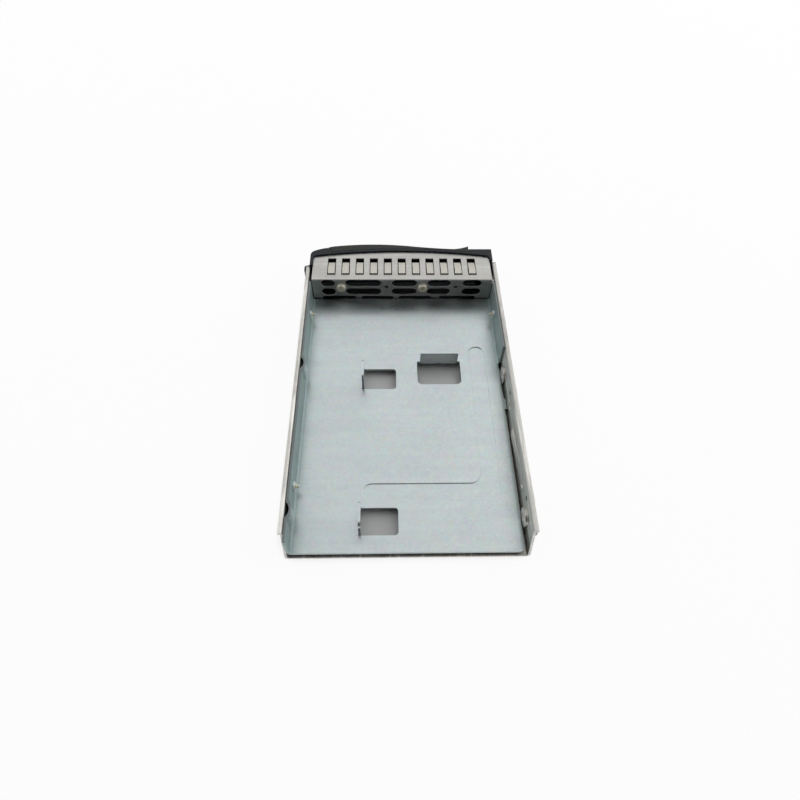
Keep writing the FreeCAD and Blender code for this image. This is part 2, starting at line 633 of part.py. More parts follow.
# ---------------------------------------------------------------------- bezel
rim_out = S.rim_gap + S.rim_t
bow_edge = S.shield_half - S.corner_r
roof = S.deck_top - S.bezel_wall
slope_z = S.rim_top - S.face_drop
bar_back = rim_out + S.move_gap
bar_rise = bow(S.bar_end, bar_back) - S.hinge_run
bar_round = dim_sqrt((S.hinge_x - S.bar_end) * (S.hinge_x - S.bar_end) + bar_rise * bar_rise)
arm_root = S.bar_end + 2.0
pin_top = S.rim_top - 2.0
shield_front = S.shield_run + S.shield_t
bezel_in = half_in - S.bezel_fit - S.bezel_wall
latch_z = (S.latch_low + S.latch_high) / 2
spring_x = S.block_from + S.latch_room
cover_screw_x = S.block_from + 10.1


def make_bezel():
    body = new_body("bezel_frame")
    wall, rear = S.bezel_wall, shield_front
    inner = half_in - S.bezel_fit
    side_in, side_out = S.shield_half + S.rim_gap, S.bezel_half
    turn = S.bezel_half - bow_edge
    corner = bow(bow_edge, rim_out) - turn
    rim_from, rim_latch = S.rail_len + 0.4, S.rail_long + 0.4
    front_arc = [(-side_out, -corner, turn, 1), (-bow_edge, -bow(bow_edge, rim_out), S.bow_r + rim_out, 1),
                 (bow_edge, -bow(bow_edge, rim_out), turn, 1), (side_out, -corner), (side_out, -rim_from)]

    base = Draw(body, "bezel_base", "XY_Plane")
    base.outline([(inner, -rear), (-inner, -rear), (-inner, -rim_latch), (-side_out, -rim_latch)]
                 + front_arc + [(inner, -rim_from)])
    pad(body, base, S.deck_top)

    # raised rim around the front of the shield
    lift = Draw(body, "bezel_rim", "XY_Plane", S.deck_top)
    turn_in, edge_in = S.corner_r + S.rim_gap, bow(bow_edge, S.rim_gap)
    lift.outline([(-side_in, -rim_latch), (-side_out, -rim_latch)] + front_arc
                 + [(side_in, -rim_from), (side_in, -edge_in + turn_in, turn_in, -1),
                    (bow_edge, -edge_in, S.bow_r + S.rim_gap, -1), (-bow_edge, -edge_in, turn_in, -1),
                    (-side_in, -edge_in + turn_in)])
    pad(body, lift, S.rim_top - S.deck_top)

    # latch block beside the lever, sloped along its top front edge
    block = Draw(body, "latch_block", "XY_Plane")
    face, mid = S.block_run + S.face_out, 0.6
    soft = S.corner_r + mid
    block.outline([(-S.block_from, -face), (-S.block_from, -bow(S.block_from, mid)),
                   (-bow_edge, -bow(bow_edge, mid), soft, -1),
                   (-bow_edge - soft, -bow(bow_edge, mid) + soft), (-side_out, -bow(bow_edge, mid) + soft),
                   (-side_out, -face + 2.0, 2.0, 1), (-side_out + 2.0, -face)])
    pad(body, block, S.rim_top)
    slope = Draw(body, "block_slope", "YZ_Plane", -S.block_from + 1)
    slope.outline([(-face - 1, S.rim_top + 1), (-face - 1, slope_z), (-face, slope_z),
                   (-S.block_run, S.rim_top), (-S.block_run, S.rim_top + 1)])
    pocket(body, slope, side_out - S.block_from + 2)

    # ears above and below the lever hub; their ends are round about the hinge, as the bar's end is
    ear_end = bar_round - S.move_gap
    back_y, front_y = 2.0, 5.95
    back_x, front_x = (dim_sqrt(ear_end * ear_end - y * y) for y in (back_y, front_y))
    for name, level, height in (("lower_ear", 0.0, S.ear_t), ("upper_ear", roof, S.rim_top - roof)):
        ear = Draw(body, name, "XY_Plane", level)
        ear.outline([(S.hinge_x - back_x, -S.hinge_run - back_y, ear_end, 1),
                     (S.hinge_x - front_x, -S.hinge_run - front_y, 23.0, 1),
                     (S.hinge_x + 2.8, -S.hinge_run - 3.85, S.ear_corner, 1), (side_out, -S.hinge_run - 0.3),
                     (side_out, -corner), (side_out - 0.6, -corner), (bow_edge + 2.6, -edge_in - 0.2),
                     (bow_edge, -edge_in - 1.0)])
        pad(body, ear, height)

    # hollow interior with an open rear
    cut = S.front_cut - rim_out
    inside = bow(bow_edge, -cut)
    hollow = Draw(body, "bezel_hollow", "XY_Plane", roof)
    hollow.outline([(bezel_in, -rear - 1.2), (-bezel_in, -rear - 1.2), (-bezel_in, -inside + 3),
                    (-bow_edge, -inside, S.bow_r - cut, 1), (bow_edge, -inside), (bezel_in, -inside + 3)])
    pocket(body, hollow, roof - wall)
    rear_cut = Draw(body, "bezel_rear", "XZ_Plane", rear - 1)
    rear_cut.round_box(-bezel_in + 1.5, wall, bezel_in - 1.5, roof, 2.0)
    pocket(body, rear_cut, 4.0, along=True)

    # mouth for the hub and arm, cam opening in the side, vents in the front wall
    mouth = Draw(body, "hinge_mouth", "XY_Plane", roof)
    left, deep = arm_root - 0.6, -S.hinge_run + S.hub_r + S.move_gap + 1.0
    mouth.outline([(left, -S.hinge_run - 9), (left, -bow(bow_edge, -cut - 0.5)), (left + 1, deep),
                   (side_out + 1, deep), (side_out + 1, -S.hinge_run - 9)])
    pocket(body, mouth, roof - S.ear_t)
    cam = Draw(body, "cam_opening", "YZ_Plane", side_out + 1)
    cam.box(-S.cam_to - 2.0, S.cam_low - S.cam_open, -cam_room, S.cam_high + S.cam_open)
    pocket(body, cam, wall + 3)
    vents = Draw(body, "bezel_vents", "XZ_Plane", S.bow_run - 8)
    for x in vent_xs:
        vents.round_box(x - 3.2, wall + 1.2, x + 3.2, roof - 1.2, 1.2)
    pocket(body, vents, 14.0, along=True)

    # bosses: two behind the shield screws, a lug low in each side for the rail screws
    boss = Draw(body, "bosses", "XZ_Plane", rear)
    bore = Draw(body, "boss_bores", "XZ_Plane", rear - 1)
    for x in (S.screw_x1, -S.screw_x2):
        boss.circle(x, S.screw_z, S.m25_r + 1.7)
        bore.circle(x, S.screw_z, S.m25_r + 0.03)
    pad(body, boss, 5.6)
    pocket(body, bore, 6.0, along=True)
    for side, name in ((1, "near"), (-1, "far")):
        lug = Draw(body, name + "_lug", "XY_Plane", wall / 2)
        lug.box((bezel_in + 0.5) * side, -side_screw_run - 2.6, (bezel_in - 3.4) * side, -side_screw_run + 2.6)
        pad(body, lug, side_screw_z + 2.1 - wall / 2)
        hole = Draw(body, name + "_lug_bore", "YZ_Plane", side_out * side)
        hole.circle(-side_screw_run, side_screw_z, S.m2_r + 0.03)
        pocket(body, hole, 5.5, along=side < 0)

    # latch slide: channel, thumb window, seat of the cover plate and its screw
    gap = S.move_gap
    channel = Draw(body, "latch_channel", "XZ_Plane", S.latch_from - gap)
    channel.box(-spring_x, S.latch_low - gap, -S.block_from + 1, S.latch_high + gap)
    pocket(body, channel, S.latch_to - S.latch_from + 2 * gap, along=True)
    thumb = Draw(body, "thumb_window", "XZ_Plane", S.latch_to)
    thumb.box(-thumb_x - thumb_w - S.latch_travel - gap, thumb_low - gap, -thumb_x + gap, thumb_high + gap)
    pocket(body, thumb, 5.0, along=True)
    seat = Draw(body, "cover_seat", "XZ_Plane", S.bow_run - 9)
    seat.box(-S.block_from - 11.6, cover_low, -S.block_from - 0.8, cover_high)
    pocket(body, seat, S.latch_from - gap - S.bow_run + 9, along=True)
    pilot = Draw(body, "cover_pilot", "XZ_Plane", S.latch_from - gap - 1)
    pilot.circle(-cover_screw_x, latch_z, S.m2_r + 0.03)
    pocket(body, pilot, 4.5, along=True)

    # way of the light pipes: notched deck and side wall, holes to the front
    way = Draw(body, "pipe_way", "XY_Plane", S.deck_top + 0.1)
    way.outline([(-side_out - 1, -rear + 1), (-side_out - 1, -pipe_turn - 7), (-bezel_in, -pipe_turn - 7),
                 (-bezel_in, -inside + 3.4), (-S.lens_x2 + 2.0, -inside + 1.0), (-S.lens_x2 + 2.0, -rear + 1)])
    pocket(body, way, S.deck_top + 0.1 - S.pipe_z2 + 1.0)
    lens = Draw(body, "lens_holes", "XZ_Plane", S.bow_run - 9)
    lens.circle(-S.lens_x1, S.pipe_z1, S.lens_r + 0.1)
    lens.circle(-S.lens_x2, S.pipe_z2, S.lens_r + 0.1)
    pocket(body, lens, 16.0, along=True)

    # hinge pin hole, closed at the top and sunk below for the retaining clip
    pin = Draw(body, "pin_hole", "XY_Plane", -1.0)
    pin.circle(S.hinge_x, -S.hinge_run, S.pin_r + S.pin_fit)
    pocket(body, pin, pin_top + 0.2 + 1.0, along=True)
    sink = Draw(body, "clip_room", "XY_Plane", -1.0)
    sink.circle(S.hinge_x, -S.hinge_run, S.pin_r + 1.0)
    pocket(body, sink, 1.9, along=True)
    nodes.append(body)


# ---------------------------------------------------------------------- lever
def make_lever():
    body = new_body("handle_lever")
    end_y = 6.0
    end_x = dim_sqrt(bar_round * bar_round - end_y * end_y)

    def plan(name, level, shift):
        """Bar outline: bowed back, bulging front, waist, flicked-up tip, round end about the hinge."""
        draw = Draw(body, name, "XY_Plane", level)
        return draw.outline([(S.bar_end, -bow(S.bar_end, bar_back), S.bow_r + bar_back, -1),
                             (-S.lever_end, -bow(S.lever_end, bar_back)),
                             (-S.lever_end, -173.7 - shift, 21.0, -1), (-29.5, -171.35 - shift, 290.0, -1),
                             (-8.0, -173.3 - shift, 159.0, 1), (37.0, -173.6 - shift, 24.0, 1),
                             (S.hinge_x - end_x + 0.1, -S.hinge_run - end_y - 0.3 - shift),
                             (S.hinge_x - end_x, -S.hinge_run - end_y, bar_round, -1)])

    pad(body, plan("bar_plan", S.lever_foot, S.face_out), slope_z - S.lever_foot)
    low, high = plan("slope_low", slope_z, S.face_out), plan("slope_high", S.rim_top, 0.0)
    loft = body.newObject("PartDesign::AdditiveLoft", "bar_slope")
    loft.Profile, loft.Sections = low.sk, [high.sk]
    low.sk.Visibility = high.sk.Visibility = False
    doc.recompute()

    # arm and hub between the ears
    arm = Draw(body, "arm", "XY_Plane", S.ear_t + 2 * S.move_gap)
    arm.outline([(S.hinge_x - S.hub_r, -S.hinge_run), (arm_root, -S.hinge_run - 2.6),
                 (arm_root - 5, -S.hinge_run - 4.2), (arm_root - 5, -175.0), (arm_root, -175.6),
                 (S.hinge_x + 1.2, -S.hinge_run - 6.6), (S.hinge_x + S.hub_r, -S.hinge_run - 3.0),
                 (S.hinge_x + S.hub_r, -S.hinge_run - 0.6), (S.hinge_x, -S.hinge_run + 1)])
    arm_high = roof - S.ear_t - 3 * S.move_gap
    pad(body, arm, arm_high)
    hub = Draw(body, "hub", "XY_Plane", S.ear_t + 2 * S.move_gap)
    hub.circle(S.hinge_x, -S.hinge_run, S.hub_r)
    pad(body, hub, arm_high)

    # forked cam that pries against the chassis slot
    cam = Draw(body, "cam", "XY_Plane", S.cam_low)
    a, b, out = S.cam_from, S.cam_to, S.cam_out
    cam.outline([(S.hinge_x - 2.6, -S.hinge_run + 0.5), (S.hinge_x + 3.2, -S.hinge_run - 0.5), (out - 0.8, -b),
                 (out, -b + 0.8), (out, -b + 3.6), (out - 2.6, -b + 5.0, 1.2, -1), (out - 2.8, -a - 3.0),
                 (out - 1.3, -a - 2.0), (out - 1.4, -a - 0.6), (out - 2.0, -a), (S.hinge_x + 3.8, -a),
                 (S.hinge_x + 0.2, -a - 3.4)])
    pad(body, cam, S.cam_high - S.cam_low)

    bore = Draw(body, "hub_bore", "XY_Plane", S.rim_top)
    bore.circle(S.hinge_x, -S.hinge_run, S.pin_r + S.pin_fit)
    pocket(body, bore, S.rim_top)
    vents = Draw(body, "lever_vents", "XZ_Plane", S.hinge_run - 4)
    for x in vent_xs:
        vents.round_box(x - 3.0, S.lever_foot + 2.0, x + 3.0, slope_z - 1.6, 1.0)
    pocket(body, vents, 20.0, along=True)
    catch = Draw(body, "catch_notch", "XZ_Plane", S.latch_from - 0.4)
    catch.box(-S.lever_end - 1, latch_z - 2.2, -S.lever_end + 1.8, latch_z + 2.2)
    pocket(body, catch, 2.2, along=True)
    nodes.append(body)


def make_latch():
    body = new_body("release_latch")
    x0, x1 = S.block_from - 0.2, S.block_from - 0.2 + S.latch_len
    slide = Draw(body, "latch_slide", "XY_Plane", S.latch_low)
    slide.outline([(-x0 - 1.4, -S.latch_to), (-x0, -S.latch_to + 1.2), (-x0, -S.latch_from),
                   (-x1, -S.latch_from), (-x1, -S.latch_to)])
    pad(body, slide, S.latch_high - S.latch_low)
    thumb = Draw(body, "latch_thumb", "XY_Plane", thumb_low)
    step, reach = thumb_w / 4, S.block_run + S.face_out + 0.6
    ridge = []
    for k in range(4):
        x = thumb_x + step * k
        ridge += [(-x, -reach), (-x - step / 2, -reach), (-x - step / 2, -reach + 0.4), (-x - step, -reach + 0.4)]
    thumb.outline([(-thumb_x, -S.latch_to + 0.5)] + ridge + [(-thumb_x - thumb_w, -S.latch_to + 0.5)])
    pad(body, thumb, thumb_high - thumb_low)
    guide = Draw(body, "spring_seat", "YZ_Plane", -x1 - 0.1)
    guide.circle(-(S.latch_from + S.latch_to) / 2, latch_z, 1.45)
    pocket(body, guide, 1.1, along=True)
    nodes.append(body)


def make_latch_spring():
    body = new_body("latch_spring")
    wire, coil, turns = 0.2, 1.05, 5
    length = S.latch_room - S.latch_len + 0.2 + 0.8
    profile = Draw(body, "spring_wire", "XZ_Plane")
    profile.circle(coil, wire + 0.05, wire)
    helix = body.newObject("PartDesign::AdditiveHelix", "spring_coil")
    helix.Profile = profile.sk
    helix.ReferenceAxis = (profile.sk, ["V_Axis"])
    helix.Mode = "height-turns-growth"
    helix.Turns = turns
    helix.Growth = 0
    helix.Height = float(length) - 2 * wire - 0.1
    profile.sk.Visibility = False
    body.Placement = Placement(Vector(-float(spring_x), -float((S.latch_from + S.latch_to) / 2), float(latch_z)),
                               Rotation(Vector(0, 1, 0), 90))
    doc.recompute()
    nodes.append(body)


def make_latch_cover():
    body = new_body("latch_cover")
    plate = Draw(body, "cover_plate", "XZ_Plane", S.latch_from - S.move_gap - cover_t)
    plate.box(-S.block_from - 11.5, cover_low + 0.1, -S.block_from - 0.9, cover_high - 0.1)
    pad(body, plate, cover_t)
    hole = Draw(body, "cover_hole", "XZ_Plane", S.latch_from - S.move_gap - cover_t - 1)
    hole.circle(-cover_screw_x, latch_z, S.m2_r + 0.15)
    pocket(body, hole, cover_t + 2, along=True)
    nodes.append(body)


# ---------------------------------------------------------------- light pipes
def make_pipe(name, z, lens_x):
    """Clear rod along the rail, through two bends, to a lens in the latch block."""
    body = new_body(name)
    drift = pipe_x - lens_x
    run = drift * 1.35
    t = 1.6
    slant = dim_sqrt(drift * drift + run * run)
    ux, uy = drift / slant, run / slant
    end = S.block_run + S.face_out - 1.5
    r = t / 0.3265
    spine = Draw(body, name + "_path", "XY_Plane", z)
    points = [(-pipe_x, -4.0), (-pipe_x, -pipe_turn + t, r, 1), (-pipe_x + ux * t, -pipe_turn - uy * t),
              (-lens_x - ux * t, -pipe_turn - run + uy * t, r, -1), (-lens_x, -pipe_turn - run - t), (-lens_x, -end)]
    spine.outline(points, closed=False)
    profile = Draw(body, name + "_section", "XZ_Plane", 4.0)
    profile.circle(-pipe_x, z, S.pipe_r)
    rod = body.newObject("PartDesign::AdditivePipe", name + "_rod")
    rod.Profile = profile.sk
    rod.Spine = (spine.sk, [])
    profile.sk.Visibility = spine.sk.Visibility = False
    doc.recompute()
    lens = Draw(body, name + "_lens", "XZ_Plane", end - 2.5)
    lens.circle(-lens_x, z, S.lens_r)
    pad(body, lens, 4.2)
    nodes.append(body)


def make_clips():
    clips = []
    for k, run in enumerate(clip_runs):
        body = new_body("pipe_clip%d" % (k + 1))
        saddle = Draw(body, "saddle%d" % k, "XZ_Plane", run - 2.5)
        saddle.outline([(-half_out, S.pipe_z2 - 1.1), (-half_out - 1.6, S.pipe_z2 - 1.1),
                        (-half_out - 2.0, S.pipe_z2 - 0.7), (-half_out - 2.0, S.pipe_z1 + 0.7),
                        (-half_out - 1.6, S.pipe_z1 + 1.1), (-half_out, S.pipe_z1 + 1.1)])
        pad(body, saddle, 5.0)
        bores = Draw(body, "clip_bores%d" % k, "XZ_Plane", run - 3.0)
        for z in (S.pipe_z1, S.pipe_z2):
            bores.circle(-pipe_x, z, S.pipe_r + 0.05)
        pocket(body, bores, 6.0, along=True)
        peg = Draw(body, "clip_peg%d" % k, "YZ_Plane", -half_out - 0.1)
        peg.circle(-run, clip_z, 0.22 + 1.0)
        pad(body, peg, S.steel + 0.05)
        clips.append(body)
    nodes.append(together("pipe_clips", clips))


# ------------------------------------------------------------- pins and screws
def make_hinge_parts():
    r, top = S.pin_r, pin_top
    nodes.append(turned("lever_pivot_pin", [
        (0, 0.1), (r - 0.2, 0.1), (r, 0.3), (r, 0.35), (r - 0.4, 0.35), (r - 0.4, 0.85), (r, 0.85),
        (r, top - 0.3), (r - 0.3, top), (0, top)], S.hinge_x, S.hinge_run))
    nodes.append(turned("lever_washer", [
        (r + 0.1, 0), (S.hub_r - 0.2, 0), (S.hub_r - 0.2, 0.3), (r + 0.1, 0.3)],
        S.hinge_x, S.hinge_run, S.ear_t))
    clip = new_body("pivot_clip")
    ring = Draw(clip, "clip_ring", "XY_Plane", 0.4)
    ring.circle(S.hinge_x, -S.hinge_run, r + 0.85)
    pad(clip, ring, 0.4)
    bore = Draw(clip, "clip_bore", "XY_Plane", 1.0)
    bore.circle(S.hinge_x, -S.hinge_run, r - 0.36)
    pocket(clip, bore, 1.0)
    mouth = Draw(clip, "clip_mouth", "XY_Plane", 1.0)
    mouth.box(S.hinge_x - 0.8, -S.hinge_run, S.hinge_x + 0.8, -S.hinge_run - 4)
    pocket(clip, mouth, 1.0)
    nodes.append(clip)


def screw(name, r, head_r, head_h, length, x, run, z, towards, cross=True):
    """Pan screw; its origin is under the head, which points along towards."""
    profile = [(0, -length), (r - 0.35, -length), (r, -length + 0.4), (r, 0.0), (head_r, 0.0),
               (head_r, head_h * 0.55), (head_r - 0.45, head_h), (0, head_h)]
    recess = (0.5, head_r * 1.25, head_h * 0.55, head_h) if cross else None
    return turned(name, profile, x, run, z, towards, recess)


def make_screws():
    nodes.append(together("shield_screws", [
        screw("shield_screw%d" % k, S.m25_r, 2.6, 1.4, 5.4, x, S.shield_run, S.screw_z, "back")
        for k, x in enumerate((S.screw_x1, -S.screw_x2))]))
    nodes.append(together("bezel_screws", [
        screw("bezel_screw%d" % k, S.m2_r, 1.8, 0.9, 5.2, half_out * side, side_screw_run, side_screw_z, towards)
        for k, (side, towards) in enumerate(((1, "+x"), (-1, "-x")))]))
    nodes.append(screw("latch_cover_screw", S.m2_r, 1.4, 1.0, 4.6, -cover_screw_x,
                       S.latch_from - S.move_gap - cover_t, latch_z, "back"))
    places = ((1, S.hole_a, "+x"), (1, S.hole_c, "+x"), (-1, S.hole_c, "-x"))
    nodes.append(together("adapter_screws", [
        screw("adapter_screw%d" % k, S.m3_r, S.m3_head, 1.0, 5.2, half_out * side, run, hole_z, towards)
        for k, (side, run, towards) in enumerate(places)]))
    bore, shank, flange = S.m3_r + S.m3_fit, S.nut_r, S.nut_r + 0.15
    nodes.append(together("clinch_nuts", [
        turned("clinch_nut%d" % k, [
            (bore, 0), (shank, 0), (shank, -S.steel), (flange, -S.steel),
            (flange, -S.steel - S.nut_flange + 0.15), (flange - 0.15, -S.steel - S.nut_flange),
            (bore, -S.steel - S.nut_flange)], plate_out * side, run, hole_z, towards)
        for k, (side, run, towards) in enumerate(places)]))


vent_xs = [-32.0 + 9.0 * k for k in range(8)]
thumb_x, thumb_w = S.block_from + 0.7, 2.8
thumb_low, thumb_high = S.latch_low + 1, S.latch_high - 1
cover_low, cover_high, cover_t = S.latch_low - 1.2, S.latch_high + 0.6, 1.5

make_tray()
make_adapter()
make_shield()
make_fingers()
make_bezel()
make_lever()
make_latch()
make_latch_spring()
make_latch_cover()
make_pipe("light_pipe_status", S.pipe_z1, S.lens_x1)
make_pipe("light_pipe_activity", S.pipe_z2, S.lens_x2)
make_clips()
make_hinge_parts()
make_screws()

doc.recompute()
for obj in doc.Objects:
    if {"Invalid", "Error"} & set(obj.State):
        raise RuntimeError("%s did not build: %s" % (obj.Name, obj.State))
os.makedirs("parts", exist_ok=True)
for node in nodes:
    shape = node.Shape
    if shape.isNull() or not shape.isValid():
        raise RuntimeError("%s has no valid shape" % node.Label)
    shape.exportStep("parts/%s.step" % node.Label)
    print("%-22s %d solid(s) %9.1f mm3" % (node.Label, len(shape.Solids), shape.Volume))
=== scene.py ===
import math

import bmesh
import bpy
from mathutils import Matrix, Vector


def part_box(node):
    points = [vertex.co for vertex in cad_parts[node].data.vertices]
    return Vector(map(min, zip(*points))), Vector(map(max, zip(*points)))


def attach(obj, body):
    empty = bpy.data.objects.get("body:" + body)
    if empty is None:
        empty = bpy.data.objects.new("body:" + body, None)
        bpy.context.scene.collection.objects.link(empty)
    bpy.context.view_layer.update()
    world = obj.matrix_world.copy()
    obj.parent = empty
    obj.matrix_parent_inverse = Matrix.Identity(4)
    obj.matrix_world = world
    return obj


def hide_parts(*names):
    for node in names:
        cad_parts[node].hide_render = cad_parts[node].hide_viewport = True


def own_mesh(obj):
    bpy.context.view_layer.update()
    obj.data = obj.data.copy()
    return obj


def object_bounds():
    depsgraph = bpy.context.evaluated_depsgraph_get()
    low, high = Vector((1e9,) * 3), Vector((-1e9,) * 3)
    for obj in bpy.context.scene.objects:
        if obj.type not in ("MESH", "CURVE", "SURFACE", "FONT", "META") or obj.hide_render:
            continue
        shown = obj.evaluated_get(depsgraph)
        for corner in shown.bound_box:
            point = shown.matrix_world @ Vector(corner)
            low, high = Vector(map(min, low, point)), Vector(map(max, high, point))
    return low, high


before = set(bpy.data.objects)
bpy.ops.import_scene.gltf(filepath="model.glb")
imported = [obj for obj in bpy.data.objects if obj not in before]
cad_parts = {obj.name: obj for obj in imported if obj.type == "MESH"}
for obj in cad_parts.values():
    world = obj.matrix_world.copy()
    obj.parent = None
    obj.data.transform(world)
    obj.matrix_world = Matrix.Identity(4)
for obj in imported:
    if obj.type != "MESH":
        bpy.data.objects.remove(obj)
cad_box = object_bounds()

bl_info = {
    "name": "Drive Caddy",
    "version": (1, 0, 0),
    "blender": (4, 5, 0),
    "location": "View3D > Sidebar > Drive Caddy",
    "description": "Finishes and stages a hot swap drive caddy",
    "category": "Object",
}

# The point that the lamps and the dark card face.
MIDDLE = Vector((0, -0.09, 0))


# ------------------------------------------------------------------- settings
def colour(name, text, value):
    return bpy.props.FloatVectorProperty(name=name, description=text, default=value, subtype="COLOR",
                                         size=3, min=0.0, max=1.0)


def fraction(name, text, value):
    return bpy.props.FloatProperty(name=name, description=text, default=value, min=0.0, max=1.0,
                                   subtype="FACTOR")


def small_length(name, text, value):
    return bpy.props.FloatProperty(name=name, description=text, default=value, min=0.0, unit="LENGTH",
                                   precision=5)


def angle(name, text, degrees):
    return bpy.props.FloatProperty(name=name, description=text, default=math.radians(degrees),
                                   subtype="ANGLE")


def lamp_power(name, text, watts):
    return bpy.props.FloatProperty(name=name, description=text, default=watts, min=0.0, unit="POWER")


class CaddyFinishes(bpy.types.PropertyGroup):
    """Colours, gloss and softness of each finish"""

    plate_zinc: colour("Plate zinc", "Bright zinc of the adapter plate", (0.53, 0.585, 0.59))
    tray_zinc: colour("Tray zinc", "Satin zinc of the outer tray", (0.56, 0.55, 0.52))
    shield_zinc: colour("Shield zinc", "Satin zinc of the front shield", (0.50, 0.495, 0.475))
    contact_metal: colour("Contact metal", "Spring strip behind the windows", (0.53, 0.515, 0.46))
    screw_zinc: colour("Screw zinc", "Plated screws", (0.70, 0.66, 0.54))
    nut_zinc: colour("Nut zinc", "Plated clinch nuts", (0.72, 0.78, 0.79))
    lever_black: colour("Lever black", "Moulded lever", (0.021, 0.025, 0.0195))
    bezel_black: colour("Bezel black", "Moulded front frame", (0.013, 0.016, 0.020))
    latch_red: colour("Latch red", "Release latch", (0.20, 0.015, 0.022))
    clear_tint: colour("Light pipe tint", "Clear rods of the light pipes", (0.80, 0.86, 0.88))
    plate_rough: fraction("Plate roughness", "How dull the adapter plate is", 0.32)
    tray_rough: fraction("Tray roughness", "How dull the outer tray is", 0.42)
    edge_round: small_length("Edge rounding", "Radius that softens sheet edges", 0.00026)


class CaddyStudio(bpy.types.PropertyGroup):
    """Camera, floor and light"""

    lens: bpy.props.FloatProperty(name="Lens", description="Focal length in millimetres", default=25.17,
                                  min=1.0)
    place: bpy.props.FloatVectorProperty(name="Camera place", description="Where the camera stands",
                                         default=(0.008667, 0.078621, 0.23437), subtype="TRANSLATION",
                                         unit="LENGTH")
    turn: angle("Turn", "Camera turned about the vertical", 2.397)
    dip: angle("Dip", "Camera tilted down", 55.84)
    roll: angle("Roll", "Camera rolled", 1.739)
    floor_drop: small_length("Floor gap", "Gap between tray and studio floor", 0.0002)
    floor_colour: colour("Floor", "Pale studio floor", (0.96, 0.96, 0.96))
    floor_glow: fraction("Floor glow", "Share of plain white seen in the floor beside the part", 0.93)
    floor_shade: fraction("Floor shade", "Share of plain white seen in the floor under the part", 0.0)
    sky: bpy.props.FloatProperty(name="Sky", description="Strength of the soft light all round", default=1.0,
                                 min=0.0)
    key: lamp_power("Key lamp", "Wide lamp beyond the front corner", 1.1)
    glint: lamp_power("Glint lamp", "Small lamp that picks out bent edges", 0.5)


# ------------------------------------------------------------------ node work
class Nodes:
    """Short names for building one node material."""

    def __init__(self, name):
        self.mat = bpy.data.materials.new(name)
        self.mat.use_nodes = True
        self.tree = self.mat.node_tree
        self.tree.nodes.clear()
        self.out = self.add("ShaderNodeOutputMaterial")
        self.shader = self.add("ShaderNodeBsdfPrincipled")
        self.join(self.shader, "BSDF", self.out, "Surface")
        self.where = self.add("ShaderNodeTexCoord")

    def add(self, kind, **settings):
        node = self.tree.nodes.new(kind)
        for key, value in settings.items():
            setattr(node, key, value)
        return node

    def join(self, a, out, b, into):
        self.tree.links.new(a.outputs[out], b.inputs[into])

    def stretched(self, scale):
        """Object coordinates stretched for grain that runs one way."""
        m = self.add("ShaderNodeMapping")
        m.inputs["Scale"].default_value = scale
        self.join(self.where, "Object", m, "Vector")
        return m

    def noise(self, scale, detail=4.0, rough=0.5, along=None):
        n = self.add("ShaderNodeTexNoise")
        n.inputs["Scale"].default_value = scale
        n.inputs["Detail"].default_value = detail
        n.inputs["Roughness"].default_value = rough
        source = (along, "Vector") if along else (self.where, "Object")
        self.join(*source, n, "Vector")
        return n

    def spangle(self, scale):
        v = self.add("ShaderNodeTexVoronoi")
        v.inputs["Scale"].default_value = scale
        self.join(self.where, "Object", v, "Vector")
        return v

    def span(self, node, out, low, high, start=0.3, end=0.7):
        """A value that goes from low to high while the output goes from start to end."""
        r = self.add("ShaderNodeMapRange")
        r.inputs["From Min"].default_value = start
        r.inputs["From Max"].default_value = end
        r.inputs["To Min"].default_value = low
        r.inputs["To Max"].default_value = high
        self.join(node, out, r, "Value")
        return r

    def blend(self, fac, a, b, mode="MIX"):
        """From a to b as fac rises: each is a colour or (node, output), and fac is a number or from span."""
        m = self.add("ShaderNodeMix", data_type="RGBA", blend_type=mode)
        share, colour_a, colour_b, mixed = 0, 6, 7, 2
        if isinstance(fac, float):
            m.inputs[share].default_value = fac
        else:
            self.join(fac, "Result", m, share)
        for source, socket in ((a, colour_a), (b, colour_b)):
            if isinstance(source[0], bpy.types.Node):
                self.join(*source, m, socket)
            else:
                m.inputs[socket].default_value = (*source, 1.0)
        return m, mixed

    def mix_shaders(self, fac, a, b):
        """The surface goes from a to b as fac rises; each is (node, output)."""
        both = self.add("ShaderNodeMixShader")
        for source, socket in ((fac, 0), (a, 1), (b, 2)):
            self.join(*source, both, socket)
        self.join(both, "Shader", self.out, "Surface")

    def soften(self, rounding):
        """Softly rounded edges: the node that gives their normal, and how far each point lies on an edge, for
        edges made brighter as wear and as painted highlight.
        """
        soft, flat = self.add("ShaderNodeBevel", samples=4), self.add("ShaderNodeNewGeometry")
        soft.inputs["Radius"].default_value = rounding
        turn = self.add("ShaderNodeVectorMath", operation="DOT_PRODUCT")
        self.join(soft, "Normal", turn, 0)
        self.join(flat, "Normal", turn, 1)
        plain_face, full_edge = 0.99, 0.86
        return soft, self.span(turn, "Value", 0.0, 1.0, plain_face, full_edge)

    def relief(self, normal, layers):
        """Bumps stacked on a normal; a layer is (node, output, strength, height)."""
        for node, out, strength, height in layers:
            bump = self.add("ShaderNodeBump")
            bump.inputs["Strength"].default_value = strength
            bump.inputs["Distance"].default_value = height
            self.join(node, out, bump, "Height")
            self.join(normal, "Normal", bump, "Normal")
            normal = bump
        self.join(normal, "Normal", self.shader, "Normal")


def shade(base, times):
    """The colour made darker or paler."""
    return tuple(min(1.0, part * times) for part in base)


